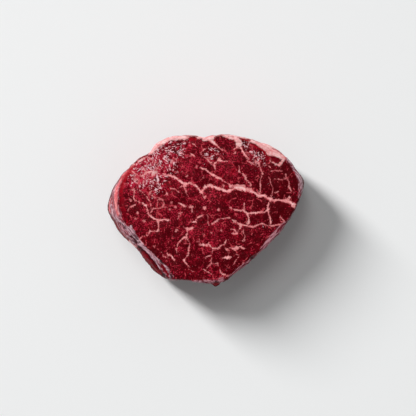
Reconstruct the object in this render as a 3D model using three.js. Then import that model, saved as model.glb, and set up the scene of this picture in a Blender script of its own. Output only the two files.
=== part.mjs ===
// A raw beef tenderloin steak: one slice cut across the grain, lying on its lower cut face.
// Millimetres, +Z up. The origin is under the middle of the steak, on the surface it rests on.
// +X points to the narrow end of the slice and +Y to the side with the thick fat edge.
import * as THREE from 'three';

// Driving dimensions, millimetres
const LENGTH = 89.6;            // across X, at the widest level
const DEPTH = 68.1;             // across Y, at the widest level
const THICKNESS = 36;           // highest point of the upper cut face
const CROWN = 1.8;              // the upper face is this much higher in its middle than at its edge
const GIRTH_HEIGHT = 15;        // level at which the side stands out furthest
const EDGE_ROUND = 1.5;         // rounding between the upper face and the side
const FOOT_ROUND = 3.0;         // rounding between the side and the flat foot
const RIM_INSET = 0.5;          // from the girth in to the upper face's edge
const FOOT_INSET = 3.6;         // from the girth in to the foot

// The slice leans towards the side that carries the silvery membrane, so the girth stands out
// beyond the upper face there.
const MEMBRANE_BEARING = 190;   // degrees from +X
const MEMBRANE_HALF_WIDTH = 30; // degrees
const MEMBRANE_LEAN = 3.8;      // added to the upper face's inset there
const FOOT_LEAN = 2.2;          // taken off the foot's inset there

// Mesh resolution
const COLUMNS = 112;            // vertices round the steak
const FACE_RINGS = 18;          // rings on the upper face
const SIDE_RINGS = 21;          // rings on the side
const FOOT_RINGS = 1;           // the foot is flat, so it is one fan of large faces
const RINGS = FACE_RINGS + SIDE_RINGS + FOOT_RINGS;

// The girth seen from above: corners of a smooth closed curve, in shares of half LENGTH and half DEPTH
const GIRTH_CORNERS = [
  [0.925, 0.15],                // the narrow end
  [0.94, 0.385],
  [0.855, 0.60],
  [0.69, 0.80],                 // the thick fat edge
  [0.485, 0.912],
  [0.20, 0.97],
  [-0.28, 0.97],
  [-0.465, 0.90],
  [-0.61, 0.76],                // its end
  [-0.80, 0.56],
  [-0.925, 0.36],
  [-1.00, 0.05],                // the broad end
  [-0.945, -0.16],
  [-0.832, -0.39],
  [-0.635, -0.605],             // the membrane side
  [-0.385, -0.885],
  [-0.24, -0.912],
  [-0.08, -0.95],
  [0.18, -0.925],
  [0.44, -0.655],               // the long straight side
  [0.645, -0.415],
  [0.806, -0.144],
];

// Lumps and grooves of the side. Each is centred at a bearing in degrees from +X and a height in
// millimetres, and stands out or sinks in most there. wide and tall are its half widths.
const SIDE_FEATURES = [
  { out: 2.0, bearing: 17, wide: 6.5, height: 16, tall: 10 },     // knob on the narrow end
  { out: 3.5, bearing: 229, wide: 8, height: 9, tall: 8 },        // strip of side muscle under the membrane
  { out: -1.8, bearing: 217, wide: 12, height: 21, tall: 4 },     // crease above it
  { out: 2.3, bearing: 226, wide: 14, height: 27, tall: 4.5 },    // fold of membrane over the crease
  { out: 4.3, bearing: 277, wide: 4.5, height: 7, tall: 6 },      // tag of membrane
  { out: -1.0, bearing: 93, wide: 3, height: 25, tall: 16 },      // notch in the fat edge
  { out: 0.9, bearing: 70, wide: 9, height: 26, tall: 7 },        // fat edge, right of the notch
  { out: 0.4, bearing: 115, wide: 9, height: 26, tall: 7 },       // fat edge, left of the notch
  { out: -1.0, bearing: 134, wide: 4, height: 24, tall: 14 },     // step where the fat edge ends
  { out: 0.4, bearing: 318, wide: 12, height: 10, tall: 6 },      // soft bundles of the long side
  { out: -0.7, bearing: 301, wide: 7, height: 18, tall: 9 },
  { out: -0.8, bearing: 332, wide: 7, height: 20, tall: 8 },
  { out: 0.8, bearing: 178, wide: 10, height: 11, tall: 6 },      // soft bundle of the broad end
  { out: -0.4, bearing: 158, wide: 6, height: 19, tall: 9 },
  { out: -0.8, bearing: 45, wide: 6, height: 12, tall: 9 },
];

// Seams of fat sink a little into the upper face. Each runs through a few points, in millimetres.
const SEAM_HALF_WIDTH = 2.1;
const SEAMS = [
  { sink: 0.7, points: [[-19, 17], [-8, 12], [-3, 9.5], [2, 11], [16, 10.5], [28, 6], [40, 3]] },
  { sink: 0.6, points: [[-2, 19], [6, 15], [11, 11]] },
  { sink: 0.5, points: [[4, -4.5], [16, -7], [32, -6]] },
  { sink: 0.5, points: [[-33, 5], [-27, 0], [-18, -4.5]] },
  { sink: 0.5, points: [[-1, 33], [4, 29], [8, 28]] },
];

// Broad soft swells of the upper face
const SWELL = 0.4;
const SWELL_LENGTH = 30;

const radians = THREE.MathUtils.degToRad;

// 1 at the centre, falling smoothly to 0 at two half widths
const bump = (distance, halfWidth) => 1 - THREE.MathUtils.smoothstep(Math.abs(distance), 0, 2 * halfWidth);

// The smaller angle between two bearings
const turnBetween = (a, b) => Math.atan2(Math.sin(a - b), Math.cos(a - b));

// How much a bearing belongs to the membrane side, from 0 to 1
const membraneShare = (bearing) => (
  bump(turnBetween(bearing, radians(MEMBRANE_BEARING)), radians(MEMBRANE_HALF_WIDTH))
);

// The side's profile at a bearing, from the upper face's edge to the foot's edge. x is the distance in
// from the girth, and y the height.
function sideProfile(bearing) {
  const share = membraneShare(bearing);
  const rim = RIM_INSET + MEMBRANE_LEAN * share;
  const foot = FOOT_INSET - FOOT_LEAN * share;
  const edge = THICKNESS - CROWN;
  return new THREE.SplineCurve([
    new THREE.Vector2(rim + EDGE_ROUND, edge),
    new THREE.Vector2(rim + 0.25 * EDGE_ROUND, edge - 0.3 * EDGE_ROUND),
    new THREE.Vector2(0.75 * rim, edge - 1.8 * EDGE_ROUND),
    new THREE.Vector2(0.20 * rim, (edge + GIRTH_HEIGHT) / 2),
    new THREE.Vector2(0, GIRTH_HEIGHT),
    new THREE.Vector2(0.35 * foot, 2 * FOOT_ROUND),
    new THREE.Vector2(foot, 0.25 * FOOT_ROUND),
    new THREE.Vector2(foot + FOOT_ROUND, 0),
  ]);
}

// How far the lumps and grooves move the side out at a bearing and a height
function sideRelief(bearing, height) {
  const relief = SIDE_FEATURES.map((f) => (
    f.out * bump(turnBetween(bearing, radians(f.bearing)), radians(f.wide)) * bump(height - f.height, f.tall)
  ));
  return relief.reduce((sum, out) => sum + out, 0);
}

// Distance from a place on the upper face to a seam
function distanceToSeam(place, points) {
  const corners = points.map(([x, y]) => new THREE.Vector3(x, y, 0));
  const flat = place.clone().setZ(0);
  const nearest = new THREE.Vector3();
  const distances = corners.slice(1).map((corner, i) => (
    new THREE.Line3(corners[i], corner).closestPointToPoint(flat, true, nearest).distanceTo(flat)
  ));
  return Math.min(...distances);
}

// Height of the upper face above its edge. out is 0 in its middle and 1 at its edge.
function faceRelief(place, out) {
  const sunk = Math.max(...SEAMS.map(({ sink, points }) => (
    sink * bump(distanceToSeam(place, points), SEAM_HALF_WIDTH)
  )));
  const phase = 2 * Math.PI / SWELL_LENGTH;
  const along = Math.sin(phase * (place.x + 0.4 * place.y));
  const across = Math.cos(phase * (place.y - 0.3 * place.x));
  const swell = SWELL * along * across;
  return CROWN * (1 - out ** 2) + (swell - SWELL - sunk) * (1 - out ** 6);
}

// The place on the steak of a ring, counted from the middle of the upper face, under a point of the girth
function steakPlace(girthPoint, ring) {
  const bearing = Math.atan2(girthPoint.y, girthPoint.x);
  const radius = girthPoint.length();
  const direction = girthPoint.clone().normalize();
  const profile = sideProfile(bearing);
  if (ring < FACE_RINGS) {
    const out = ring / FACE_RINGS;
    const edge = profile.getPoint(0);
    const place = direction.multiplyScalar(out * (radius - edge.x));
    return place.setZ(edge.y + faceRelief(place, out));
  }
  if (ring <= FACE_RINGS + SIDE_RINGS) {
    const { x: inset, y: height } = profile.getPoint((ring - FACE_RINGS) / SIDE_RINGS);
    const relief = sideRelief(bearing, height) * THREE.MathUtils.smoothstep(height, 0, 3);
    return direction.multiplyScalar(radius - inset + relief).setZ(Math.max(height, 0));
  }
  const out = (RINGS - ring) / FOOT_RINGS;
  return direction.multiplyScalar(out * (radius - profile.getPoint(1).x));
}

// The steak's surface: a sphere, with each vertex moved to its place. three.js numbers a sphere's
// vertices ring by ring from the top pole, and each ring repeats its first vertex at its end.
function steakGeometry() {
  const girth = new THREE.CatmullRomCurve3(
    GIRTH_CORNERS.map(([x, y]) => new THREE.Vector3(x * LENGTH / 2, y * DEPTH / 2, 0)),
    true,
    'catmullrom',
  );
  const around = girth.getSpacedPoints(COLUMNS);
  const geometry = new THREE.SphereGeometry(1, COLUMNS, RINGS);
  const position = geometry.attributes.position;
  for (let i = 0; i < position.count; i += 1) {
    const ring = Math.floor(i / (COLUMNS + 1));
    const column = i % (COLUMNS + 1) % COLUMNS;
    const place = steakPlace(around[column], ring);
    position.setXYZ(i, place.x, place.y, place.z);
  }
  geometry.computeBoundingBox();
  const middle = geometry.boundingBox.getCenter(new THREE.Vector3());
  geometry.translate(-middle.x, -middle.y, 0);
  geometry.computeVertexNormals();
  return geometry;
}

const rawBeef = new THREE.MeshStandardMaterial({ color: 0x7a1623, roughness: 0.38, metalness: 0 });

const steak = new THREE.Mesh(steakGeometry(), rawBeef);
steak.name = 'tenderloin_steak';

const root = new THREE.Group();
root.add(steak);

export default root;
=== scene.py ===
# A raw beef tenderloin steak on a pale floor, seen from straight above.
# Soft light comes from the upper left.
# Lengths are in millimetres until the mesh is made, and in metres from there on.
import math

import bmesh
import bpy
import numpy as np
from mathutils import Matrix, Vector, noise
from mathutils.bvhtree import BVHTree


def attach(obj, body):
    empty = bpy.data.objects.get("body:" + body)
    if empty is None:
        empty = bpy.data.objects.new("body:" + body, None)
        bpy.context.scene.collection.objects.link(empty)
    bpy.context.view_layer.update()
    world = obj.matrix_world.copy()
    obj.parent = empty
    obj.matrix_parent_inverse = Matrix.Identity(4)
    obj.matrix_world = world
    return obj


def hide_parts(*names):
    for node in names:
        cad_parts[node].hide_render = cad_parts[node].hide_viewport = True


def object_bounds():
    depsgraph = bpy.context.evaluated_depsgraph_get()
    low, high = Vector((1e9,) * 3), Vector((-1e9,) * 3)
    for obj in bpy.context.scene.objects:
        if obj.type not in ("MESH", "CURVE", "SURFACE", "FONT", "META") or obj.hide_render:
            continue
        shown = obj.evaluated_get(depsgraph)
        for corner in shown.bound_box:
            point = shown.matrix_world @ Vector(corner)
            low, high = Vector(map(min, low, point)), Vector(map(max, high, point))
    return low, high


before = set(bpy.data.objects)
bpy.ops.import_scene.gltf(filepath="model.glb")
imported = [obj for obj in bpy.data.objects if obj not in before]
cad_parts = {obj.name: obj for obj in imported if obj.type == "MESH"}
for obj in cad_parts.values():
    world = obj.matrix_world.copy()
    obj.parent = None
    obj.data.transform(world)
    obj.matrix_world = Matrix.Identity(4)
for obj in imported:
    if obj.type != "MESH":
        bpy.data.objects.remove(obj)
cad_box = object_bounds()

MM = 0.001  # a millimetre in metres
NODE = "tenderloin_steak"
THICKNESS = cad_box[1].z / MM

# ---- camera and the photograph's scale

IMAGE = 416  # width and height of the photograph in pixels
LENS = 100  # millimetres, on a sensor 36 wide
SENSOR = 36
CAMERA = (1.1, 2.1, 542)  # millimetres, looking straight down
FACE_HEIGHT = 34.5  # height at which places on the upper face are read


def from_photo(pixels):
    """Places on the upper face, in millimetres, of places in the photograph, in pixels."""
    step = (CAMERA[2] - FACE_HEIGHT) * SENSOR / LENS / IMAGE
    x, y = np.array(pixels, float).T
    return np.column_stack([CAMERA[0] + (x - IMAGE / 2) * step, CAMERA[1] + (IMAGE / 2 - y) * step])


# ---- seams of fat in the upper face

# Read off the photograph. Each seam has its width in millimetres at its start and at its end,
# and the places that it runs through, in pixels.
SEAMS = dict(
    main_start=(0.9, 1.5, (165, 174), (170, 175), (173, 176)),
    main_left=(1.3, 1.0, (173, 176), (177, 179), (184, 184), (190, 183)),
    main_left_end=(1.0, 1.2, (190, 183), (196, 185), (201, 191)),
    main_middle=(1.2, 1.5, (201, 191), (204, 188), (209, 185), (220, 189), (228, 191), (237, 187)),
    main_thick=(2.2, 2.1, (236, 187), (243, 188), (249, 190), (258, 195), (264, 196)),
    main_right=(1.5, 1.2, (264, 196), (273, 200), (284, 200), (289, 202)),
    main_end=(1.7, 1.4, (286, 201), (291, 203), (296, 205)),
    main_end_above=(0.9, 1.2, (289, 197), (288, 200)),
    main_end_below=(1.0, 1.1, (292, 205), (295, 208)),
    main_upper_strand=(0.9, 1.2, (231, 185), (243, 186), (250, 190)),
    main_stub_up=(0.9, 0.5, (184, 185), (180, 187)),
    main_stub_down=(1.0, 0.4, (184, 186), (185, 190), (188, 195)),
    main_second_stub=(0.9, 0.4, (201, 191), (203, 196)),
    branch=(1.0, 0.9, (201, 168), (205, 169), (209, 172), (219, 178), (229, 184), (231, 186)),
    notch=(2.0, 1.3, (209, 139), (212, 141), (215, 144)),
    notch_down=(1.3, 0.5, (215, 144), (219, 147), (223, 150)),
    left_of_notch_top=(0.6, 0.6, (208, 147), (205, 149), (201, 152)),
    left_of_notch=(0.7, 0.8, (201, 153), (204, 157), (208, 160), (214, 166), (215, 169)),
    left_of_notch_stub=(0.6, 0.4, (208, 160), (208, 157)),
    left_of_notch_branch=(0.8, 1.1, (214, 165), (216, 162), (220, 160)),
    left_of_notch_branch_end=(1.0, 0.5, (220, 159), (223, 161), (227, 161)),
    left_of_notch_branch_up=(0.7, 0.3, (220, 160), (220, 156)),
    upper_middle=(1.4, 0.7, (239, 143), (241, 149), (245, 155), (249, 159)),
    upper_middle_end=(0.9, 0.5, (248, 161), (250, 162), (255, 165)),
    upper_middle_hook=(1.0, 0.7, (239, 145), (235, 148), (232, 149)),
    right_of_upper_middle=(0.5, 0.5, (246, 152), (250, 154), (254, 155)),
    down_to_main=(0.6, 0.8, (239, 167), (239, 172), (245, 177), (250, 184), (251, 188)),
    down_to_main_stub=(0.5, 0.3, (245, 176), (249, 174)),
    second_down=(0.6, 0.7, (258, 163), (260, 168), (263, 174), (261, 180), (260, 192)),
    second_down_top=(0.5, 0.6, (254, 160), (258, 163), (261, 161)),
    right_upper=(0.5, 0.6, (262, 166), (266, 164), (269, 167)),
    right_middle=(0.6, 0.3, (271, 171), (276, 170), (281, 171)),
    right_inner=(0.4, 0.3, (276, 179), (280, 179), (286, 179)),
    right_down=(0.4, 0.7, (285, 174), (286, 178), (289, 182), (289, 187)),
    right_down_end=(0.6, 0.7, (289, 187), (292, 192), (295, 193)),
    right_faint=(0.3, 0.3, (269, 178), (271, 184), (272, 190), (272, 195)),
    right_low_spot=(0.7, 0.4, (275, 193), (278, 192)),
    upper_left=(0.6, 0.6, (147, 157), (152, 160), (157, 163), (157, 168)),
    left_blob_in=(0.8, 0.9, (131, 170), (134, 172), (138, 176), (143, 176)),
    left_blob_join=(0.9, 0.7, (143, 176), (146, 172), (143, 169)),
    left_blob=(1.2, 2.0, (146, 172), (151, 172), (156, 172)),
    left_blob_below=(1.2, 0.8, (152, 173), (152, 176)),
    left_comb=(0.5, 0.4, (132, 178), (136, 182), (139, 185)),
    left_comb_two=(0.4, 0.4, (134, 177), (139, 181)),
    left_low=(0.5, 0.5, (130, 190), (135, 189)),
    left_hook=(0.7, 0.9, (134, 192), (134, 198), (136, 201), (142, 203), (146, 206)),
    left_hook_down=(0.8, 0.8, (146, 206), (147, 211), (149, 215), (153, 218)),
    left_hook_end=(0.9, 1.2, (153, 218), (158, 219), (163, 220), (168, 220)),
    left_inner=(0.7, 0.6, (141, 191), (146, 196), (149, 200), (151, 203), (151, 207)),
    left_inner_branch=(0.4, 0.3, (147, 195), (152, 191)),
    left_edge=(0.6, 0.4, (135, 205), (131, 207), (128, 210)),
    left_pair=(0.5, 0.4, (158, 197), (162, 199), (164, 203), (163, 207)),
    left_arc=(0.5, 0.4, (150, 213), (153, 209), (158, 208), (165, 207)),
    left_upright=(0.4, 0.4, (150, 195), (158, 198), (158, 204)),
    middle_short=(0.9, 0.5, (179, 203), (184, 206), (188, 207), (192, 206)),
    middle_short_drop=(0.4, 0.3, (192, 206), (192, 212)),
    middle_above=(0.6, 0.5, (171, 188), (175, 189), (178, 192)),
    top_short=(0.6, 0.5, (180, 152), (184, 154), (190, 156)),
    top_short_end=(0.9, 0.6, (192, 154), (194, 156)),
    top_second=(0.4, 0.4, (174, 159), (178, 161)),
    top_third=(0.5, 0.6, (192, 143), (195, 145)),
    lower_left_step=(0.5, 0.6, (158, 220), (158, 230)),
    lower_left_step_across=(0.9, 0.8, (158, 231), (153, 231), (149, 232), (147, 235)),
    lower_left_step_end=(0.8, 0.6, (147, 235), (143, 236), (139, 239), (142, 243)),
    lower_fork=(0.9, 0.7, (192, 228), (187, 229), (187, 233), (186, 237)),
    lower_fork_left=(0.9, 0.7, (186, 237), (180, 240), (178, 243), (177, 248), (177, 253)),
    lower_fork_stub=(0.7, 0.6, (184, 227), (187, 229)),
    lower_strand=(0.6, 0.6, (187, 237), (189, 242), (189, 250), (188, 256), (184, 260)),
    lower_strand_end=(0.7, 0.5, (184, 259), (185, 263), (189, 267)),
    middle_hook=(0.8, 1.1, (202, 215), (198, 218), (196, 221), (192, 222)),
    middle_thin=(0.4, 0.3, (207, 216), (209, 226)),
    middle_dots=(0.5, 0.4, (178, 213), (181, 213), (178, 218)),
    lower_left_thin=(0.5, 0.4, (161, 253), (163, 256), (167, 258)),
    lower_left_blob=(0.7, 1.2, (168, 254), (172, 256), (174, 260)),
    lower_middle_start=(1.9, 0.8, (203, 245), (208, 244), (213, 248)),
    lower_middle=(0.9, 0.7, (213, 248), (218, 249), (221, 246), (225, 244), (226, 240)),
    lower_middle_drop=(0.8, 0.6, (213, 248), (212, 253)),
    lower_middle_blob=(1.3, 1.0, (210, 256), (207, 257)),
    lower_middle_tail=(0.5, 0.6, (211, 260), (211, 264), (208, 267)),
    lower_middle_side=(0.5, 0.5, (211, 263), (217, 263), (218, 266)),
    lower_right=(0.6, 1.5, (226, 248), (231, 248), (237, 249)),
    lower_right_end=(1.1, 0.6, (237, 249), (240, 247), (244, 248)),
    lower_right_stub=(0.7, 0.4, (226, 249), (229, 252)),
    lower_right_blob=(0.6, 1.9, (222, 258), (226, 257), (229, 257)),
    lower_right_thin=(0.6, 0.4, (239, 258), (236, 261), (233, 265)),
    lower_right_third=(0.5, 0.4, (235, 254), (238, 256)),
    bottom=(0.7, 0.4, (204, 270), (207, 272), (213, 275), (213, 279)),
    bottom_right=(0.6, 0.7, (220, 271), (222, 274), (227, 276), (233, 274)),
    bottom_left=(0.4, 0.4, (190, 270), (193, 271)),
    upper_bar=(0.6, 1.1, (230, 208), (237, 210), (243, 211), (247, 213)),
    upper_bar_right=(1.1, 1.3, (247, 213), (256, 213), (264, 212), (269, 209)),
    upper_bar_stub=(0.5, 0.5, (244, 204), (244, 208), (246, 212)),
    upper_bar_down=(0.8, 0.8, (270, 200), (268, 205), (268, 211), (271, 221), (271, 224)),
    bar_to_bar=(0.8, 0.8, (247, 213), (249, 218), (249, 224)),
    lower_bar_left=(0.6, 0.9, (212, 224), (219, 219), (229, 218), (240, 225)),
    lower_bar=(1.3, 0.8, (240, 225), (246, 225), (253, 227), (262, 224)),
    lower_bar_right=(0.8, 0.6, (262, 224), (270, 226), (278, 225)),
    lower_bar_hook=(0.8, 0.9, (240, 226), (239, 230), (236, 234), (233, 234)),
    lower_bar_second_hook=(0.6, 0.6, (230, 230), (234, 230), (236, 233)),
    lower_bar_thin=(0.4, 0.5, (244, 231), (245, 237), (243, 241)),
    lower_bar_end=(0.7, 0.5, (281, 217), (284, 221), (280, 225)),
)

# Small round spots of fat: their width in millimetres, and their places in pixels
SPOTS = {
    1.0: [(204, 208)],
    0.7: [(219, 209)],
    0.6: [(138, 213)],
    0.5: [
        (167, 194), (172, 203), (176, 231), (143, 182), (172, 162), (205, 197), (122, 205), (245, 241),
        (235, 153), (205, 258), (203, 234), (187, 176), (223, 186),
    ],
    0.4: [
        (204, 177), (179, 216), (154, 246), (221, 231), (198, 242), (196, 167), (182, 172), (174, 168),
        (130, 200), (135, 218), (170, 209), (175, 207), (148, 178), (157, 183),
    ],
    0.3: [(144, 221), (200, 245), (252, 206), (243, 263), (211, 233)],
}

# Lighter and redder or darker parts of the upper face, partly the meat's own tone and partly painted
# light and shade: lighter towards the upper left, where the light comes from, and darker towards the
# right. The middle in pixels, the radius in millimetres, and how much lighter. Darker is negative.
TONES_AND_LIGHT = [
    ((148, 160), 11, 0.56), ((178, 150), 10, 0.34), ((138, 182), 9, 0.38), ((168, 170), 8, 0.20),
    ((257, 158), 6, 0.24), ((210, 152), 6, 0.22), ((150, 180), 9, 0.20), ((200, 240), 8, 0.06),
    ((285, 186), 10, -0.64), ((277, 214), 9, -0.54), ((252, 238), 9, -0.38), ((232, 262), 9, -0.44),
    ((205, 270), 9, -0.06), ((150, 238), 6, -0.12), ((129, 206), 6, -0.18), ((205, 180), 5, -0.14),
    ((151, 263), 8, -0.40), ((283, 166), 6, -0.30), ((192, 262), 9, -0.12), ((180, 215), 7, 0.10),
    ((258, 204), 7, -0.28), ((228, 198), 7, -0.12), ((262, 172), 8, -0.08), ((180, 268), 7, -0.12),
]

# ---- what covers the edge and the side

# Patches of fat and of thin film on the side. They run from one bearing to another, in degrees from
# +X, and reach some millimetres in from the girth over the edge, and some millimetres down the side.
PATCHES = {
    "fat": [
        ((93, 140), 0.6, 15),
        ((44, 99), 0.5, 20),
        ((22, 50), 0.2, 12),
        ((325, 352), -0.6, 13),
    ],
    "film": [
        ((356, 44), 0.6, 30),
        ((146, 214), 0.5, 30),
        ((200, 256), 0.5, 20),
        ((244, 306), 0.5, 26),
        ((296, 334), 0.5, 34),
        ((60, 150), -0.8, 34),
    ],
}

# Strips along the edge, as the photograph shows them: the width in millimetres at the start and at the
# end, and the places in pixels.
FAT_STRIPS = [
    (1.6, 2.3, (150, 153), (156, 147), (161, 143)),  # upper edge, left of the notch
    (2.3, 2.2, (161, 143), (165, 140), (170, 138), (180, 137)),
    (2.2, 1.0, (180, 137), (185, 138), (188, 138)),
    (0.8, 1.2, (197, 138), (203, 137)),
    (1.8, 2.0, (205, 139), (209, 138), (213, 137)),  # at the notch
    (0.7, 1.2, (225, 136), (232, 138), (237, 139)),
    (2.4, 2.6, (236, 139), (238, 141), (239, 144)),
    (0.8, 2.1, (249, 140), (255, 142), (260, 145)),  # the thick band
    (2.1, 3.2, (260, 145), (265, 147), (270, 151)),
    (3.3, 2.5, (270, 152), (275, 153), (280, 156)),
    (2.5, 1.0, (280, 156), (286, 158)),
    (0.8, 0.9, (271, 160), (275, 164), (279, 165), (283, 161), (285, 158)),
    (0.9, 0.8, (120, 232), (124, 236), (127, 239)),  # low strip at the lower left
    (1.3, 0.9, (128, 241), (132, 245), (136, 247)),
    (0.9, 0.7, (110, 198), (109, 206), (110, 213)),  # the broad end
    (0.7, 1.2, (128, 170), (122, 178)),
    (1.0, 1.5, (122, 178), (117, 188), (116, 197)),
    (1.5, 0.9, (116, 197), (116, 207), (118, 215)),
    (0.6, 0.7, (128, 168), (134, 164)),
    (0.7, 0.5, (138, 162), (147, 156)),
]
FILM_STRIPS = [
    (0.9, 2.2, (128, 169), (122, 176)),  # the broad end
    (2.2, 2.8, (122, 176), (118, 185)),
    (2.8, 3.6, (118, 185), (115, 195)),
    (3.6, 5.0, (115, 195), (114, 205), (115, 213)),
    (5.0, 3.2, (115, 213), (119, 222)),
    (3.2, 3.8, (119, 222), (125, 229)),  # silvery band
    (3.8, 3.0, (125, 229), (133, 238)),
    (2.6, 3.2, (129, 229), (131, 233)),
    (3.0, 2.6, (133, 238), (142, 248), (152, 256)),
    (2.4, 1.6, (152, 256), (160, 266), (165, 275)),
    (1.0, 0.8, (160, 262), (167, 268), (174, 278)),
    (1.0, 1.2, (175, 281), (190, 282), (207, 282)),  # bottom edge and its tag
    (1.6, 2.2, (205, 281), (213, 282), (222, 279)),
    (0.7, 0.6, (213, 283), (222, 282)),
    (1.6, 2.2, (286, 157), (291, 164), (297, 172)),  # the narrow end
    (2.4, 3.2, (297, 172), (301, 180), (302, 190)),
    (2.6, 2.2, (304, 180), (304, 188)),
    (2.2, 0.8, (302, 190), (299, 198)),
    (0.8, 1.2, (298, 206), (292, 216), (285, 225)),
    (1.8, 2.8, (285, 224), (277, 232)),  # the long side
    (2.8, 1.5, (277, 232), (269, 241), (262, 250)),
    (1.0, 1.3, (262, 250), (252, 259), (240, 268)),  # lower right
    (1.3, 0.7, (240, 268), (229, 277)),
]
SILVER_STRIPS = [
    (0.6, 0.6, (111, 205), (112, 213), (117, 221)),
    (0.8, 1.6, (117, 218), (122, 224), (126, 228)),
    (1.6, 2.6, (126, 228), (130, 230)),
    (1.0, 1.4, (131, 226), (131, 231)),
    (2.6, 2.0, (130, 230), (136, 239), (143, 247)),
    (2.0, 1.9, (143, 247), (149, 254), (153, 258)),
    (1.0, 0.8, (153, 258), (158, 266), (161, 273)),
    (0.9, 0.8, (155, 257), (161, 262), (167, 269), (171, 278)),
    (0.6, 0.6, (128, 236), (134, 243)),
    (0.5, 0.5, (176, 281), (188, 282), (204, 282)),
    (0.9, 0.9, (287, 158), (291, 164)),
    (0.9, 1.3, (293, 167), (297, 173)),
    (1.5, 1.9, (298, 174), (301, 181)),
    (1.9, 0.9, (301, 181), (302, 192)),
]
RED_STRIPS = [
    (1.3, 2.0, (133, 166), (128, 173), (124, 180)),  # inside the broad end's pale edge
    (2.0, 1.8, (124, 180), (121, 188), (121, 196)),
    (1.8, 1.6, (121, 196), (122, 206), (125, 215)),
    (1.3, 0.7, (125, 215), (128, 222)),
    (0.5, 0.4, (122, 177), (117, 183)),  # streaks across it
    (0.4, 0.6, (112, 196), (112, 212)),
    (0.8, 1.1, (109, 214), (114, 222), (118, 230)),
    (1.2, 0.9, (118, 230), (123, 236), (128, 240)),
    (1.5, 1.4, (162, 264), (164, 269), (168, 274)),  # crevice in the silvery band
    (4.2, 5.0, (143, 256), (149, 264)),  # strip of side muscle
    (5.0, 2.8, (149, 264), (159, 273)),
    (0.7, 0.9, (241, 139), (250, 140)),  # below the upper edge's film
    (0.8, 0.9, (252, 144), (262, 150), (269, 159)),
    (1.9, 1.9, (273, 160), (278, 160)),
    (1.0, 1.2, (189, 139), (196, 139)),
    (0.7, 0.7, (215, 138), (214, 141)),
    (1.6, 1.2, (214, 285), (222, 285)),  # the tag
]
# Dark lines at the edge: cut in as grooves, and painted near black as the shade inside them
DARK_STRIPS = [
    (0.9, 1.1, (131, 236), (136, 243)),
    (1.2, 0.9, (138, 247), (146, 254), (151, 260)),
    (0.9, 1.2, (151, 260), (158, 270), (164, 276)),
    (0.8, 0.6, (161, 261), (163, 264)),
    (0.6, 0.9, (168, 272), (172, 277)),
    (0.5, 0.5, (120, 223), (126, 229)),
    (0.5, 0.5, (134, 235), (140, 243)),
    (0.9, 1.2, (222, 286), (226, 281)),
    (0.9, 0.9, (216, 283), (218, 283)),
    (0.5, 0.6, (299, 171), (303, 176), (305, 184)),
    (1.2, 1.0, (252, 259), (256, 256)),
]

STRIPS = dict(fat=FAT_STRIPS, film=FILM_STRIPS, silver=SILVER_STRIPS, red=RED_STRIPS, dark=DARK_STRIPS)

# Creases of the side run along it. Each has its bearings, its height at the first and at the last of
# them, its depth and its half width, in millimetres.
# The material also paints the creases near black, as painted shade inside them.
CREASES = [
    ((196, 246), (23, 19), 1.0, 1.1),
    ((158, 204), (21, 18), 0.5, 0.8),
    ((212, 234), (13, 11), 0.6, 0.8),
    ((266, 292), (16, 14), 0.8, 0.9),
    ((8, 30), (26, 23), 0.5, 0.7),
]

# Places where the cut fibres stand up, with painted highlight glints: the middle in pixels, and the
# radius in millimetres
TORN_AND_GLINT_PLACES = [((152, 160), 10), ((176, 146), 9), ((138, 178), 7), ((165, 168), 7), ((257, 158), 6),
               ((212, 154), 5), ((155, 187), 6), ((246, 144), 3)]

# ---- helpers for shapes

SEED_STEP = 17.3  # how far apart two seeds read the noise, in lumps
CELL_GAIN = 1.6  # brings the middle of most cells up to 1


def add_object(name, data):
    """A new object in the scene."""
    added = bpy.data.objects.new(name, data)
    bpy.context.scene.collection.objects.link(added)
    return added


def place_at(bearing, radius, height):
    """A place or a direction, from its bearing in radians, its distance from the axis and its height."""
    return radius * math.cos(bearing), radius * math.sin(bearing), height


def smooth_step(value, low, high):
    """0 below low, 1 above high, and smooth between."""
    share = np.clip((value - low) / (high - low), 0, 1)
    return share * share * (3 - 2 * share)


def noise_places(places, size, seed):
    """Where noise with lumps of the given size is read, in lumps."""
    return (places / size + seed * SEED_STEP).tolist()


def lumps(places, size, seed):
    """Soft noise from about -1 to 1 whose lumps have the given size, at each place."""
    return np.array([noise.noise(place) for place in noise_places(places, size, seed)])


def layered(places, *layers):
    """The sum of soft noises, each with its amount, the size of its lumps and its seed."""
    return sum(amount * lumps(places, size, seed) for amount, size, seed in layers)


def sideways(places, amount, size, seeds):
    """A shift in plan by soft noise, in millimetres."""
    return amount * np.column_stack([lumps(places, size, seed) for seed in seeds])


def cells(places, size, seed):
    """How far each place is into a rounded cell of the given size: 0 at its rim and about 1 inside."""
    found = [noise.voronoi(place)[0] for place in noise_places(places, size, seed)]
    return np.clip(np.array([far[1] - far[0] for far in found]) * CELL_GAIN, 0, 1)


# ---- the steak's mesh

SIDE = 192  # quads along each side of the square that is laid over the upper face
COLUMNS = 4 * SIDE  # columns down the side
SHOULDER_ROWS = 12  # rows round the upper edge
WALL_ROWS = 46
HEEL_ROWS = 6  # rows round the lower edge
SHOULDER_HEIGHT = 30  # middle of the upper edge's rounding
HEEL_HEIGHT = 3.5
EDGE_DEPTH = 3  # from the side in to the middle of each rounding
TOP_LEVEL = 0.9  # share of the height at which the upper face's outline is read
GIRTH_HEIGHT = 15  # level at which the side stands out furthest
FOOT_SHRINK = 0.8  # each ring of the foot against the ring outside it
FOOT_MIDDLE = 12  # vertices of the foot's innermost ring


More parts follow.
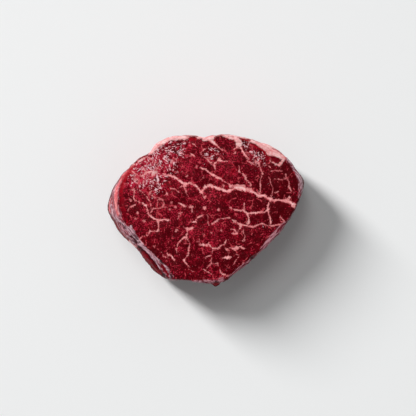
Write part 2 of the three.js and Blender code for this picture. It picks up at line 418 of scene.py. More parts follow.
def smooth_cad_surface():
    """The CAD solid's surface with its facets smoothed, ready for rays."""
    stand_in = add_object("smooth_stand_in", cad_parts[NODE].data.copy())
    shape = bmesh.new()
    shape.from_mesh(stand_in.data)
    bmesh.ops.remove_doubles(shape, verts=shape.verts, dist=1e-6)
    shape.to_mesh(stand_in.data)
    shape.free()
    stand_in.modifiers.new("smooth", "SUBSURF").levels = 2
    tree = BVHTree.FromObject(stand_in, bpy.context.evaluated_depsgraph_get())
    bpy.data.objects.remove(stand_in)
    return tree


def reach(tree, start, direction):
    """Where a ray from inside the steak meets its surface, in millimetres."""
    hit = tree.ray_cast(Vector(start) * MM, Vector(direction))[0]
    return hit / MM


def side_radius(tree, bearing, height):
    """Distance from the axis to the side."""
    hit = reach(tree, (0, 0, height), place_at(bearing, 1, 0))
    return math.hypot(hit.x, hit.y)


def disk_place(across, up):
    """A place in a square from -1 to 1, moved to the round disk."""
    return across * math.sqrt(1 - up * up / 2), up * math.sqrt(1 - across * across / 2)


def square_rim():
    """Index pairs of the square's outer vertices, once round."""
    run = range(SIDE)
    return (
        [(SIDE, j) for j in run] + [(SIDE - i, SIDE) for i in run]
        + [(0, SIDE - j) for j in run] + [(i, 0) for i in run]
    )


def face_vertices(tree, top_radius):
    """The upper face: a square grid, laid over the outline and dropped on the surface."""
    found = []
    for j in range(SIDE + 1):
        for i in range(SIDE + 1):
            x, y = disk_place(2 * i / SIDE - 1, 2 * j / SIDE - 1)
            bearing = math.atan2(y, x)
            radius = math.hypot(x, y) * top_radius(bearing)
            found.append(reach(tree, place_at(bearing, radius, THICKNESS / 2), (0, 0, 1)))
    return found


def column_vertices(tree, bearing, top, foot):
    """One column, from the upper face round its edge, down the side and round the foot."""
    rays = []
    for row in range(1, SHOULDER_ROWS + 1):
        rays.append((top, SHOULDER_HEIGHT, math.pi / 2 * (1 - row / SHOULDER_ROWS)))
    for row in range(1, WALL_ROWS + 1):
        share = row / WALL_ROWS
        height = SHOULDER_HEIGHT + (HEEL_HEIGHT - SHOULDER_HEIGHT) * share
        rays.append((top + (foot - top) * share, height, 0))
    for row in range(1, HEEL_ROWS + 1):
        rays.append((foot, HEEL_HEIGHT, -math.pi / 2 * row / HEEL_ROWS))
    found = []
    for radius, height, tilt in rays:
        direction = place_at(bearing, math.cos(tilt), math.sin(tilt))
        found.append(reach(tree, place_at(bearing, radius, height), direction))
    return found


def halve_ring(ring, vertices, faces):
    """Adds a ring of half as many vertices inside a ring of the foot, and the faces between."""
    first = len(vertices)
    half = len(ring) // 2
    for i in range(half):
        vertices.append(vertices[ring[2 * i]] * FOOT_SHRINK)
    inner = list(range(first, first + half))
    for i in range(half):
        a, b, c = ring[2 * i], ring[2 * i + 1], ring[(2 * i + 2) % len(ring)]
        near, far = inner[i], inner[(i + 1) % half]
        faces += [(a, near, b), (b, near, far), (b, far, c)]
    return inner


def steak_mesh():
    """The fine closed surface over the CAD solid, in millimetres: its vertices and its faces."""
    tree = smooth_cad_surface()

    def top_radius(bearing):
        return side_radius(tree, bearing, TOP_LEVEL * THICKNESS) - EDGE_DEPTH

    vertices = face_vertices(tree, top_radius)
    wide = SIDE + 1
    faces = [
        (j * wide + i, j * wide + i + 1, (j + 1) * wide + i + 1, (j + 1) * wide + i)
        for j in range(SIDE) for i in range(SIDE)
    ]
    ring = [j * wide + i for i, j in square_rim()]
    columns = []
    for corner in ring:
        bearing = math.atan2(vertices[corner].y, vertices[corner].x)
        foot = side_radius(tree, bearing, HEEL_HEIGHT) - EDGE_DEPTH
        columns.append(column_vertices(tree, bearing, top_radius(bearing), foot))
    for row in range(SHOULDER_ROWS + WALL_ROWS + HEEL_ROWS):
        first = len(vertices)
        vertices += [column[row] for column in columns]
        below = list(range(first, first + COLUMNS))
        for i in range(COLUMNS):
            k = (i + 1) % COLUMNS
            faces.append((ring[i], below[i], below[k], ring[k]))
        ring = below
    while len(ring) > FOOT_MIDDLE:
        ring = halve_ring(ring, vertices, faces)
    faces.append(tuple(reversed(ring)))
    return np.array(vertices), faces


# ---- fields over the steak's surface

FAR_OFF = 99.0  # millimetres, further than any seam
THINNEST = 0.1  # millimetres, half width where there is no seam
OUTSIDE = -9.0  # millimetres, outside every strip and patch
WEB = 0.22  # millimetres, how far seams that meet are joined by a web
STRIP_FADE = 3  # millimetres that a strip loses where the side turns away
GIRTH_DEGREE = 0.65  # millimetres along the girth in a degree
CREASE_FADE = 6  # degrees over which a crease starts and ends
SIDE_SLOPE = (0.35, 0.85)  # share of the normal along Z, from the side to the two faces
FACING_SLOPE = (0.03, 0.15)  # share of the normal towards the camera, from hidden to seen
SIDE_THINNING = 0.6  # how much thinner the seams are on the side

# What places are multiplied by before noise is read, so that its lumps run down the side
SEAM_STRETCH = (1, 1, 0.1)
MEAT_STRETCH = (1, 1, 0.12)
FOLD_STRETCH = (1, 1, 0.4)
PATCH_STRETCH = (1, 1, 0.5)

# Soft noise: its amount, the size of its lumps in millimetres and its seed or seeds
SEAM_DRIFT = (0.05, 9, (1, 2))  # millimetres for each millimetre below the top
SEAM_WANDER = (0.50, 2.4, (11, 12))  # millimetres
SEAM_SHIVER = (0.22, 0.9, (13, 14))
CREASE_WANDER = (1.2, 7, 3)
FACING_UNEVEN = (0.05, 3, 15)
END_WANDER = [(7, 10, 16), (3, 4, 17)]  # of the patches' ends, in degrees
RIM_WANDER = [(9, 12, 18), (3, 3.5, 19)]  # of the patches' lower rims, in millimetres


def seen_places(places):
    """Where the camera sees each place, in millimetres at the level of the upper face."""
    middle = np.array(CAMERA[:2])
    scale = (CAMERA[2] - FACE_HEIGHT) / (CAMERA[2] - places[:, 2])
    return middle + (places[:, :2] - middle) * scale[:, None]


def no_run(count):
    """What holds where no line is near: signed distance, plain distance and half width."""
    return tuple(np.full(count, value) for value in (FAR_OFF, FAR_OFF, THINNEST))


def run_of(first, last, places, plan):
    """Signed and plain distance from a line through a few places, and the line's half width there."""
    signed, plain, half = no_run(len(plan))
    pieces = len(places) - 1
    for k in range(pieces):
        start, along = places[k], places[k + 1] - places[k]
        length = max(along @ along, 1e-9)
        share = np.clip((plan - start) @ along / length, 0, 1)
        off = plan - start - share[:, None] * along
        distance = np.hypot(off[:, 0], off[:, 1])
        side = np.sign(along[0] * (plan - start)[:, 1] - along[1] * (plan - start)[:, 0])
        nearer = distance < plain
        signed = np.where(nearer, side * distance, signed)
        plain = np.where(nearer, distance, plain)
        half = np.where(nearer, (first + (last - first) * (k + share) / pieces) / 2, half)
    return signed, plain, half


def seam_fields(plan):
    """The nearest seam at each place: signed distance, plain distance and half width, in millimetres.

    The signed distance passes straight through zero between two vertices, so a seam thinner than the
    mesh stays even. Where seams meet, the half width grows, so they are joined by a small web.
    """
    signed, plain, half = no_run(len(plan))
    joined = np.zeros(len(plan))
    runs = [(first, last, from_photo(pixels)) for first, last, *pixels in SEAMS.values()]
    for width, pixels in SPOTS.items():
        runs += [(width, width, from_photo([pixel, pixel])) for pixel in pixels]
    for first, last, places in runs:
        run_signed, run_plain, run_half = run_of(first, last, places, plan)
        nearer = run_plain - run_half < plain - half
        signed = np.where(nearer, run_signed, signed)
        plain = np.where(nearer, run_plain, plain)
        half = np.where(nearer, run_half, half)
        joined += np.exp((run_half - run_plain) / WEB)
    web = WEB * np.log(np.maximum(joined, 1e-9)) - (half - plain)
    return signed, plain, half + np.clip(web, 0, 1)


def strip_depth(strips, edge, facing):
    """How far each place lies inside the nearest strip, in millimetres. Negative is outside.

    The photograph shows the strips from above, so they fade out where the side turns away from it.
    """
    inside = np.full(len(edge), OUTSIDE)
    for first, last, *pixels in strips:
        plain, half = run_of(first, last, from_photo(pixels), edge)[1:]
        inside = np.maximum(inside, half - plain)
    return inside - STRIP_FADE * (1 - facing)


def cover(patches, bearing, inset, height):
    """How far each place lies inside the nearest patch, in millimetres. Negative is outside."""
    inside = np.full(len(bearing), OUTSIDE)
    for (low, high), reach_in, reach_down in patches:
        spread = ((high - low) % 360) / 2
        turn = np.abs((bearing - low - spread + 180) % 360 - 180)
        ends = (spread - turn) * GIRTH_DEGREE
        over = reach_in - inset
        down = height - (THICKNESS - reach_down)
        inside = np.maximum(inside, np.minimum(np.minimum(ends, over), down))
    return inside


def crease_depth(bearing, height, wander):
    """How deep the creases cut into the side at each place, in millimetres."""
    deepest = np.zeros(len(bearing))
    for (low, high), (start, finish), depth, half in CREASES:
        end = high - low
        turn = (bearing - low) % 360
        share = np.clip(turn / end, 0, 1)
        line = start + (finish - start) * share + wander
        fade = smooth_step(turn, 0, CREASE_FADE) * (1 - smooth_step(turn, end - CREASE_FADE, end))
        deepest = np.maximum(deepest, depth * fade * np.exp(-(((height - line) / half) ** 2)))
    return deepest


def blots(plan, spots):
    """The sum of soft round spots, each with its middle in pixels, its radius and its amount."""
    total = np.zeros(len(plan))
    for pixel, radius, amount in spots:
        middle = from_photo([pixel])[0]
        far = np.hypot(plan[:, 0] - middle[0], plan[:, 1] - middle[1])
        total += amount * (1 - smooth_step(far, 0.2 * radius, 1.3 * radius))
    return total


def steak_fields(places, normals, girth):
    """Everything that the relief and the material need to know at each vertex."""
    bearing = np.degrees(np.arctan2(places[:, 1], places[:, 0])) % 360
    radius = np.hypot(places[:, 0], places[:, 1])
    inset = np.interp(bearing, girth[0], girth[1]) - radius
    height = places[:, 2]
    side = 1 - smooth_step(np.abs(normals[:, 2]), *SIDE_SLOPE)
    columns = places * SEAM_STRETCH
    drift = (THICKNESS - height)[:, None] * sideways(places, *SEAM_DRIFT)
    wander = sideways(columns, *SEAM_WANDER)
    shiver = sideways(columns, *SEAM_SHIVER)
    seen = seen_places(places)
    signed, plain, half = seam_fields(seen + drift + wander + shiver)
    towards = np.array(CAMERA) - places
    slant = (normals * towards).sum(1) / np.linalg.norm(towards, axis=1)
    facing = smooth_step(slant + layered(places, FACING_UNEVEN), *FACING_SLOPE)
    # The strips wander less where the side is steep
    loose = 0.1 + 0.4 * smooth_step(slant, 0.1, 0.7)
    edge = seen + loose[:, None] * (wander + shiver)
    turned = bearing + layered(places, *END_WANDER)
    raised = height + layered(places * PATCH_STRETCH, *RIM_WANDER)
    torn_and_glint = blots(seen, [(pixel, size, 1) for pixel, size in TORN_AND_GLINT_PLACES])
    fields = {
        "seam_side": signed,
        "seam_far": plain,
        "seam_half": half * (1 - SIDE_THINNING * side),
        "crease": crease_depth(bearing, height, layered(places, CREASE_WANDER)) * side,
        "side": side,
        "inset": inset,
        "facing": facing,
        "torn_and_glint": np.clip(torn_and_glint, 0, 1) * (1 - side),
        # the meat's own tone together with painted light and shade, lighter towards the upper left
        "tone": blots(seen + 2 * wander, TONES_AND_LIGHT) * (1 - 0.5 * side),
    }
    for name, strips in STRIPS.items():
        fields[name] = strip_depth(strips, edge, facing)
    for name, patches in PATCHES.items():
        fields[name] = np.maximum(fields[name], cover(patches, turned, inset, raised))
    return fields


# Relief of the surface: how high it is and the size of its lumps, in millimetres, and its seed
BUNDLE_RELIEF = (0.20, 5.5, 4)
STRAND_RELIEF = (0.13, 1.9, 5)
CURD_RELIEF = (0.16, 2.4, 9)
FOLD_RELIEF = (0.30, 5, 8)
PILLOWS = (2.2, 6)  # size and seed of the small rounded bundles
ROUGHNESS = (0.95, 7)  # size and seed of the finest relief
FAT_RISE = 0.15
GROOVE_DEPTH = 0.24  # along the seams
GROOVE_REACH = 0.8  # out from a seam
FILM_HIDES = 0.55  # how much of the strands a film evens out
FAT_HIDES = 0.6
FOOT_CALM = (0.2, 2.5)  # heights between which the relief starts
# How far the strips stand out, and the depths between which they rise
STRIP_RELIEF = {"silver": (0.22, (-0.3, 0.3)), "red": (-0.35, (-0.4, 0.5)), "dark": (-0.70, (-0.4, 0.4))}


def relief(places, fields):
    """How far each vertex moves out along its normal, in millimetres."""
    side, torn_and_glint = fields["side"], fields["torn_and_glint"]
    columns = places * MEAT_STRETCH
    film = smooth_step(fields["film"], -0.5, 0.8)
    fat = smooth_step(fields["fat"], -0.4, 0.6)
    meat = (1 - FILM_HIDES * film) * (1 - FAT_HIDES * fat)
    bundles = layered(columns, BUNDLE_RELIEF) * (1 + 1.6 * side)
    pillows = (0.14 + 0.12 * side) * cells(columns, *PILLOWS) - 0.12
    strands = meat * (layered(columns, STRAND_RELIEF) + pillows)
    rough = (0.05 + 0.10 * torn_and_glint) * meat * lumps(columns, *ROUGHNESS)
    from_seam = np.maximum(fields["seam_far"] - fields["seam_half"], 0)
    deep = GROOVE_DEPTH * (1 - 0.8 * side) * np.clip(fields["seam_half"] / 0.6, 0.4, 1)
    grooves = deep * np.exp(-from_seam / GROOVE_REACH)
    folds = side * layered(places * FOLD_STRETCH, FOLD_RELIEF)
    curds = fat * (layered(places, CURD_RELIEF) + folds + FAT_RISE)
    strips = sum(out * smooth_step(fields[name], *rim) for name, (out, rim) in STRIP_RELIEF.items())
    move = bundles + strands + rough + curds + strips - grooves - fields["crease"]
    return move * smooth_step(places[:, 2], *FOOT_CALM)


def make_steak():
    """The steak: a fine mesh that replaces the CAD solid."""
    places, faces = steak_mesh()
    mesh = bpy.data.meshes.new("steak")
    mesh.from_pydata((places * MM).tolist(), [], faces)
    mesh.validate()
    normals = np.empty(len(places) * 3, np.float32)
    mesh.vertex_normals.foreach_get("vector", normals)
    normals = normals.reshape(-1, 3)
    tree = BVHTree.FromPolygons((places * MM).tolist(), faces)
    bearings = np.arange(361)
    girth = (bearings, [side_radius(tree, math.radians(b), GIRTH_HEIGHT) for b in bearings])
    fields = steak_fields(places, normals, girth)
    places = places + normals * relief(places, fields)[:, None]
    places[:, 2] = np.maximum(places[:, 2], 0)
    mesh.vertices.foreach_set("co", (places * MM).astype(np.float32).ravel())
    for name, values in fields.items():
        mesh.attributes.new(name, "FLOAT", "POINT").data.foreach_set("value", values.astype(np.float32))
    mesh.polygons.foreach_set("use_smooth", [True] * len(mesh.polygons))
    mesh.update()
    return add_object("steak", mesh)


# ---- materials


class Nodes:
    """Adds and joins shader nodes in one material."""

    def __init__(self, name):
        self.material = bpy.data.materials.new(name)
        self.material.use_nodes = True
        self.tree = self.material.node_tree
        self.shader = self.tree.nodes["Principled BSDF"]

    def put(self, value, socket):
        """Sets a socket to a number or colour, or joins an output to it."""
        if isinstance(value, bpy.types.NodeSocket):
            self.tree.links.new(value, socket)
        else:
            socket.default_value = value

    def add(self, kind, output=0, inputs=None, **settings):
        """Adds a node and gives back one of its outputs."""
        node = self.tree.nodes.new("ShaderNode" + kind)
        for name, value in settings.items():
            setattr(node, name, value)
        for name, value in (inputs or {}).items():
            self.put(value, node.inputs[name])
        return node.outputs[output]

    def field(self, name):
        """One of the mesh's fields."""
        return self.add("Attribute", "Fac", attribute_name=name)

    def math(self, operation, first, second=0.0):
        return self.add("Math", inputs={0: first, 1: second}, operation=operation)

    def times(self, first, second):
        return self.math("MULTIPLY", first, second)

    def step(self, value, low, high, start=0.0, end=1.0):
        """start below low, end above high, and smooth between."""
        inputs = {"Value": value, "From Min": low, "From Max": high, "To Min": start, "To Max": end}
        return self.add("MapRange", inputs=inputs, interpolation_type="SMOOTHSTEP")

    def pick(self, share, first, second):
        """A number between two."""
        return self.add("Mix", 0, inputs={0: share, 2: first, 3: second}, data_type="FLOAT")

    def mix(self, share, first, second):
        """A colour between two."""
        return self.add("Mix", 2, inputs={0: share, 6: first, 7: second}, data_type="RGBA")

    def places(self, stretch=(1, 1, 1), offset=(0, 0, 0), turn=0):
        """Places on the piece in millimetres, turned about Z by some degrees, stretched and moved."""
        coords = self.add("TexCoord", "Object")
        turned = self.add("VectorRotate", inputs={"Vector": coords, "Angle": math.radians(turn)},
                          rotation_type="Z_AXIS")
        scale = [s / MM for s in stretch]
        return self.add("Mapping", inputs={"Vector": turned, "Scale": scale, "Location": offset})

    def noise(self, places, size, strength=1.0, detail=2.0):
        """Noise from about -0.5 to 0.5, times a strength. size is that of its lumps, in millimetres."""
        inputs = {"Vector": places, "Scale": 1 / size, "Detail": detail, "Roughness": 0.6}
        return self.times(self.math("SUBTRACT", self.add("TexNoise", inputs=inputs), 0.5), strength)

    def cell_values(self, places, size):
        """A number from 0 to 1 for each cell of the given size in millimetres."""
        colour = self.add("TexVoronoi", "Color", inputs={"Vector": places, "Scale": 1 / size})
        return self.add("SeparateColor", 0, inputs={0: colour})

    def bundle_rims(self, places, size):
        """Distance from the rims of wavy cells of the given size in millimetres."""
        wander = self.add("TexNoise", "Color", inputs={"Vector": places, "Scale": 0.7, "Detail": 2.0})
        bent = self.add("VectorMath", inputs={0: places, 1: wander}, operation="ADD")
        inputs = {"Vector": bent, "Scale": 1 / size}
        return self.add("TexVoronoi", "Distance", inputs=inputs, feature="DISTANCE_TO_EDGE")

    def along_edge(self):
        """Places for noise that is drawn out into lines along the steak's edge."""
        inset = self.add("CombineXYZ", inputs={"Z": self.field("inset")})
        around = self.places((0.15, 0.15, 0))
        return self.add("VectorMath", inputs={0: around, 1: inset}, operation="ADD")

    def threads(self, size, width):
        """Thin lines along the steak's edge, where a noise passes through zero."""
        return self.step(self.math("ABSOLUTE", self.noise(self.along_edge(), size)), 0.0, width, 1, 0)

    def total(self, *values):
        """The sum of several outputs."""
        result = values[0]
        for value in values[1:]:
            result = self.math("ADD", result, value)
        return result


DEEP_RED = (0.068, 0.0005, 0.0025, 1)
RED = (0.140, 0.0012, 0.0062, 1)
BRIGHT_RED = (0.450, 0.0150, 0.0400, 1)
WET_RED = (0.340, 0.0012, 0.0095, 1)
SEAM_RED = (0.570, 0.0620, 0.0800, 1)
FAT_PINK = (0.590, 0.1200, 0.1380, 1)
FAT_SALMON = (0.780, 0.2900, 0.2900, 1)
FAT_PALE = (0.900, 0.5600, 0.5500, 1)
FILM_MAUVE = (0.200, 0.0400, 0.0600, 1)
FILM_PALE = (0.540, 0.2500, 0.2900, 1)
SILVER_DARK = (0.150, 0.0550, 0.0750, 1)
SILVER = (0.660, 0.4100, 0.4600, 1)
# colour of the painted highlight glints
GLINT_GREY = (0.840, 0.5600, 0.6000, 1)
PAINTED_CREVICE_SHADE = (0.030, 0.0020, 0.0045, 1)
BLACK = (0, 0, 0, 1)
WHITE = (1, 1, 1, 1)

# Sizes of the muscle's parts in the face, in millimetres
BUNDLE = 3.6  # bundles with hair-thin fat between them
SMALL_BUNDLE = 1.9  # bundles that differ a little in tone
FIBRE_BUNDLE = 4.2  # bundles whose fibres lie one way
FIBRE = 0.46  # one fibre end across
GRAIN = 0.60
# the specks are partly painted highlights
SPECK_GAP = 1.25  # between specks of fat

FIBRE_STRETCH = (1, 0.34, 0.12)
FIBRE_WAYS = (60, -20, 105)  # degrees
FIBRE_SHARES = (0.36, 0.68)  # where one way gives over to the next
MARBLING_STRETCH = (1, 1, 0.15)

# Strengths on the face and on the side
GRAIN_TONE = (3.5, 2.6)
RIM_TONE = (0.24, 0.10)
WHOLE_TONE = (-0.19, -0.42)
WET_SHARE = (1.0, 0.4)
MARBLING_SHARE = (1.0, 0.5)
SEAM_SHARE = (1.0, 0.40)
# Lighter and darker lumps of the muscle: their size in millimetres, their strength and detail
MEAT_LUMPS = [(1.8, 1.25, 1), (5, 1.20, 2), (15, 0.50, 2)]

# Values of the beef's shader that are the same all over
BEEF_SHADER = {
    "Coat Roughness": 0.34,
    "Specular IOR Level": 0.04,
    "Subsurface Weight": 0.04,
    "Subsurface Radius": (1.0, 0.25, 0.15),
    "Subsurface Scale": 0.5 * MM,
}


def fibre_ends(n):
    """Short fibres that lie one way in one bundle and another way in the next."""
    choice = n.cell_values(n.places(SEAM_STRETCH), FIBRE_BUNDLE)
    ways = [n.noise(n.places(FIBRE_STRETCH, (turn, 0, 0), turn), FIBRE) for turn in FIBRE_WAYS]
    fibres = ways[0]
    for share, way in zip(FIBRE_SHARES, ways[1:]):
        fibres = n.pick(n.math("GREATER_THAN", choice, share), fibres, way)
    return fibres


def meat_colour(n, columns, rims, fibres):
    """Dark red muscle made of small bundles, lighter and redder in some places."""
    side = n.field("side")
    grain = n.total(n.noise(columns, GRAIN), n.noise(columns, 0.7 * GRAIN, 0.6, 0))
    tone = n.math("SUBTRACT", n.cell_values(columns, SMALL_BUNDLE), 0.5)
    shade = n.total(
        n.times(tone, 0.24),
        n.times(n.pick(n.field("torn_and_glint"), grain, fibres), n.pick(side, *GRAIN_TONE)),
        *[n.noise(columns, *lump) for lump in MEAT_LUMPS],
        n.step(rims, 0.02, 0.30, n.pick(side, *RIM_TONE), -0.05),
        # the tone field holds painted light and shade as well as the meat's own tone
        n.field("tone"),
        n.pick(side, *WHOLE_TONE),
    )
    dark = n.mix(n.step(shade, -0.45, 0.20), DEEP_RED, RED)
    meat = n.mix(n.step(shade, 0.14, 0.72), dark, BRIGHT_RED)
    wet = n.step(n.noise(n.places((1, 1, 0.3), (40, 0, 0)), 4.5), 0.06, 0.18, 0, 0.50)
    wet = n.times(wet, n.pick(side, *WET_SHARE))
    return n.mix(wet, meat, n.mix(n.step(shade, -0.2, 0.35), RED, WET_RED))


def fine_marbling(n, columns, rims, meat):
    """Hair-thin seams and specks of fat between the bundles. The pale specks are partly painted
    highlights too.
    """
    broken = n.step(n.noise(n.places(MARBLING_STRETCH, (0, 70, 0)), 2.4), 0.05, 0.13)
    thin = n.times(n.step(rims, 0.02, 0.07, 1, 0), broken)
    # specks of fat, which also stand in for tiny highlights as painted highlights
    speck = n.add("TexVoronoi", "Distance", inputs={"Vector": columns, "Scale": 1 / SPECK_GAP})
    sparse = n.step(n.noise(n.places(MARBLING_STRETCH, (0, 0, 90)), 1.1), 0.03, 0.10)
    dots = n.times(n.step(speck, 0.12, 0.24, 1, 0), sparse)
    either = n.math("MAXIMUM", n.times(thin, 0.80), n.times(dots, 0.95))
    return n.mix(n.times(either, n.pick(n.field("side"), *MARBLING_SHARE)), meat, SEAM_RED)


def painted_glint_strokes(n, fibres):
    """Painted highlights: short pale glints where the cut fibres stand up."""
    level = n.times(n.math("SUBTRACT", 1.0, n.field("torn_and_glint")), -0.22)
    clusters = n.noise(n.places(), 2.2, 0.45, 1)
    return n.step(n.total(fibres, clusters, level), 0.052, 0.092)


def seam_depth(n, columns):
    """How far a place lies inside a seam, in millimetres, with ragged rims and pinched places."""
    near = n.math("ABSOLUTE", n.field("seam_side"))
    far = n.math("SUBTRACT", n.field("seam_far"), 0.35)
    ragged = n.noise(columns, 0.60, 1.35)
    pinched = n.noise(columns, 1.6, 1.50)
    away = n.times(n.math("MAXIMUM", near, far), -1.0)
    return n.total(n.times(n.field("seam_half"), 0.74), away, ragged, pinched)


def fat_colour(n, places, depth):
    """Fat, from pink where it is thin to nearly white where it is deep, with a stringy grain."""
    strings = n.noise(n.places((0.35, 1.1, 1), (0, 0, 20), 15), 0.6, detail=3)
    folds = n.noise(n.places((1, 1, 0.35), (9, 0, 0)), 2.4, detail=3)
    sagging = n.times(folds, n.pick(n.field("side"), 0.0, 2.2))
    blotches = n.noise(places, 3.5, 1.3, 3)
    tone = n.total(strings, blotches, sagging, n.times(depth, 1.2))
    salmon = n.mix(n.step(tone, -0.15, 0.50), FAT_PINK, FAT_SALMON)
    return n.mix(n.step(tone, 0.45, 1.15), salmon, FAT_PALE)


def film_colour(n, places, under):
    """A silvery film that the meat shows through, wrinkled along its edge and streaked down the side."""
    facing = n.field("facing")
    streaks = n.step(n.noise(n.places((1, 1, 0.14), (5, 0, 0)), 1.1, detail=3), -0.10, 0.20)
    pale = n.pick(facing, streaks, n.threads(0.9, 0.10))
    tone = n.total(pale, n.noise(places, 4.5, 1.6, 3))
    film = n.mix(n.step(tone, 0.0, 1.1), FILM_MAUVE, FILM_PALE)
    veil = n.times(n.step(tone, -0.4, 0.8, 0.35, 1.0), n.pick(facing, 0.32, 0.90))
    return n.mix(veil, under, film)


def patch_share(n, name, places, soft=0.35):
    """How much of the surface a patch covers. Its rim is uneven, and frayed where the side is steep."""
    facing = n.field("facing")
    fringe = n.total(n.noise(places, 5, 2.5, 3), n.noise(n.places(MEAT_STRETCH), 1.3, 6.0))
    uneven = n.total(
        n.field(name),
        n.noise(places, 0.8, 0.9),
        n.noise(places, 2.4, 1.0),
        n.times(n.math("SUBTRACT", 1.0, facing), fringe),
    )
    fade = n.pick(facing, 2.2, soft)
    return n.step(uneven, n.times(fade, -1.0), fade)


def surface_height(n, fibres, seam, glint_strokes):
    """Fine relief in millimetres, for the bump."""
    torn_and_glint = n.times(n.times(fibres, n.field("torn_and_glint")), 0.18)
    return n.total(n.times(fibres, 0.06), torn_and_glint, n.times(glint_strokes, 0.04), n.times(seam, -0.04))


def with_seams(n, columns, places, colour):
    """The colour with the seams of fat laid over it, and where the seams are."""
    depth = seam_depth(n, columns)
    seam = n.step(depth, -0.09, 0.09)
    strength = n.times(
        n.step(n.field("seam_half"), 0.12, 0.50, 0.50, 1.0), n.pick(n.field("side"), *SEAM_SHARE),
    )
    colour = n.mix(n.step(depth, -0.40, 0.10, 0, 0.28), colour, SEAM_RED)
    return n.mix(n.times(seam, strength), colour, fat_colour(n, places, depth)), seam


def edge_fat(n, places, film):
    """The fat of the edge, with thin red threads along it, and pinker where the film lies on it."""
    depth = n.total(n.noise(places, 1.6), n.pick(n.field("facing"), 0.45, 0.7), n.times(film, -0.42))
    threads = n.times(n.threads(0.7, 0.09), n.pick(film, 0.40, 0.80))
    return n.mix(threads, fat_colour(n, places, depth), SEAM_RED)


def with_strips(n, places, fibres, colour):
    """The colour with the red and silvery strips of the edge laid over it, and painted shade, near
    black, in the dark strips and the creases.
    """
    patchy = n.total(n.noise(places, 1.4, detail=3), fibres, n.field("tone"))
    red_meat = n.mix(n.step(patchy, -0.22, 0.22), RED, WET_RED)
    red = n.times(patch_share(n, "red", places, 0.2), n.step(patchy, -0.30, 0.30, 1.0, 0.78))
    colour = n.mix(red, colour, red_meat)
    silver = n.times(patch_share(n, "silver", places, 0.25), 0.85)
    colour = n.mix(silver, colour, n.mix(n.threads(0.7, 0.14), SILVER_DARK, SILVER))
    # painted shade: the dark strips are coloured near black
    colour = n.mix(n.times(patch_share(n, "dark", places, 0.25), 0.9), colour, PAINTED_CREVICE_SHADE)
    # painted shade: the creases are coloured near black
    return n.mix(n.step(n.field("crease"), 0.15, 1.1, 0, 0.9), colour, PAINTED_CREVICE_SHADE)


def set_gloss(n, places, fatty):
    """Satin and uneven, duller on the fat, with small wet glints."""
    moist = n.step(n.noise(places, 2.2, detail=3), -0.2, 0.2, 0.36, 0.50)
    n.put(n.math("ADD", moist, n.times(fatty, 0.08)), n.shader.inputs["Roughness"])
    wet = n.step(n.noise(n.places((1, 1, 0.2), (0, 0, 30)), 1.3), 0.08, 0.20, 0.0, 0.19)
    n.put(wet, n.shader.inputs["Coat Weight"])
    for name, value in BEEF_SHADER.items():
        n.put(value, n.shader.inputs[name])


def beef_material():
    """Raw beef: muscle, seams of fat, fat edge and silvery film on one surface."""
    n = Nodes("raw_beef_surface")
    columns, places = n.places(MEAT_STRETCH), n.places()
    fibres = fibre_ends(n)
    rims = n.bundle_rims(columns, BUNDLE)
    meat = fine_marbling(n, columns, rims, meat_colour(n, columns, rims, fibres))
    glint_strokes = painted_glint_strokes(n, fibres)
    # painted highlights: pale glints laid into the colour
    colour, seam = with_seams(n, columns, places, n.mix(n.times(glint_strokes, 0.85), meat, GLINT_GREY))
    film = patch_share(n, "film", places)
    colour = n.mix(film, colour, film_colour(n, places, meat))
    fat = patch_share(n, "fat", places)
    colour = n.mix(fat, colour, edge_fat(n, places, film))
    n.put(with_strips(n, places, fibres, colour), n.shader.inputs["Base Color"])
    set_gloss(n, places, n.math("MAXIMUM", seam, fat))
    height = surface_height(n, fibres, seam, glint_strokes)
    bump = n.add("Bump", inputs={"Height": height, "Distance": MM, "Strength": 1.0})
    n.put(bump, n.shader.inputs["Normal"])
    n.put(bump, n.shader.inputs["Coat Normal"])
    return n.material


# ---- the studio

FLOOR_HALF = 2.0  # metres
FLOOR_GLOW = (150, 320)  # millimetres from the middle, where the glow starts and is full
FLOOR_TONE = 0.87  # strength of the full glow
FLOOR_COLOUR = (0.86, 0.86, 0.86, 1)
KEY_DISTANCE = 0.90  # metres
KEY_AIM = 1.0  # metres beyond the steak, so that the floor is lit evenly
# Two panels at the upper left: degrees from +X, degrees up from the floor, metres across and up, watts
KEY_PANELS = [(138.5, 43, (0.17, 0.56), 10.6), (108, 70, (0.20, 0.40), 1.4)]
# Room light: the height it comes from, as the sine of the elevation, and its colour there
ROOM_LIGHT = [
    (0.22, (0.88, 0.88, 0.88)),
    (0.34, (0.258, 0.276, 0.278)),
    (0.75, (0.258, 0.276, 0.278)),
    (0.90, (0.02, 0.02, 0.02)),
]


def floor_material():
    """Plain pale matt surface. Far out it glows instead, so that it runs on into the pale walls."""
    n = Nodes("pale_floor")
    far = n.add("VectorMath", "Value", inputs={0: n.places((1, 1, 0))}, operation="LENGTH")
    glow = n.step(far, *FLOOR_GLOW)
    n.put(n.mix(glow, FLOOR_COLOUR, BLACK), n.shader.inputs["Base Color"])
    n.put(n.times(glow, FLOOR_TONE), n.shader.inputs["Emission Strength"])
    for name, value in {"Emission Color": WHITE, "Roughness": 0.9, "Specular IOR Level": 0.0}.items():
        n.put(value, n.shader.inputs[name])
    return n.material


def make_floor():
    """A square floor round the steak."""
    mesh = bpy.data.meshes.new("floor")
    corners = [(x * FLOOR_HALF, y * FLOOR_HALF, 0) for x, y in ((-1, -1), (1, -1), (1, 1), (-1, 1))]
    mesh.from_pydata(corners, [], [(0, 1, 2, 3)])
    mesh.materials.append(floor_material())
    add_object("floor", mesh)


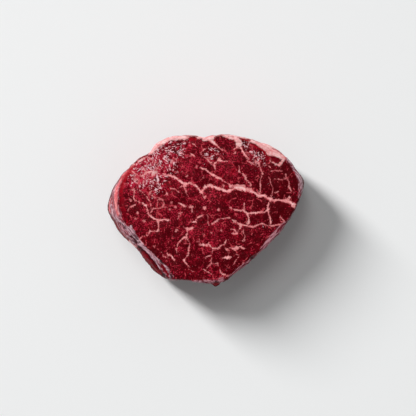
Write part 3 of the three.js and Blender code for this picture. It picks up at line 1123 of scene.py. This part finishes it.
def make_key_light():
    """A strong low panel and a weak high one, both oval and as bright at every distance."""
    for number, (bearing, elevation, size, power) in enumerate(KEY_PANELS):
        up = math.radians(elevation)
        level = Vector(place_at(math.radians(bearing), 1, 0))
        lamp = bpy.data.lights.new("key_%d" % number, "AREA")
        lamp.shape = "ELLIPSE"
        lamp.size, lamp.size_y = size
        lamp.energy = power
        lamp.use_nodes = True
        nodes = lamp.node_tree.nodes
        falloff = nodes.new("ShaderNodeLightFalloff")
        falloff.inputs["Strength"].default_value = 1.0
        lamp.node_tree.links.new(falloff.outputs["Constant"], nodes["Emission"].inputs["Strength"])
        key = add_object(lamp.name, lamp)
        key.location = KEY_DISTANCE * (level * math.cos(up) + Vector((0, 0, math.sin(up))))
        key.rotation_euler = (key.location + KEY_AIM * level).to_track_quat("Z", "Y").to_euler()


def make_room_light():
    """Pale walls at the horizon, soft fill above them and almost nothing straight overhead."""
    world = bpy.data.worlds.new("room")
    bpy.context.scene.world = world
    world.use_nodes = True
    tree = world.node_tree
    coords = tree.nodes.new("ShaderNodeTexCoord")
    split = tree.nodes.new("ShaderNodeSeparateXYZ")
    ramp = tree.nodes.new("ShaderNodeValToRGB")
    tree.links.new(coords.outputs["Generated"], split.inputs[0])
    tree.links.new(split.outputs["Z"], ramp.inputs[0])
    tree.links.new(ramp.outputs[0], tree.nodes["Background"].inputs["Color"])
    elements = ramp.color_ramp.elements
    elements[1].position = 1.0
    for height, _ in ROOM_LIGHT[1:-1]:
        elements.new(height)
    for element, (height, colour) in zip(elements, ROOM_LIGHT):
        element.position = height
        element.color = (*colour, 1)


def make_camera():
    """A long lens straight above the steak."""
    lens = bpy.data.cameras.new("camera")
    lens.lens = LENS
    lens.sensor_width = SENSOR
    camera = add_object("camera", lens)
    camera.location = Vector(CAMERA) * MM
    bpy.context.scene.camera = camera


make_camera()
make_floor()
make_key_light()
make_room_light()
bpy.context.scene.view_settings.view_transform = "Standard"

steak = make_steak()
steak.data.materials.append(beef_material())
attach(steak, "root")
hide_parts(NODE)
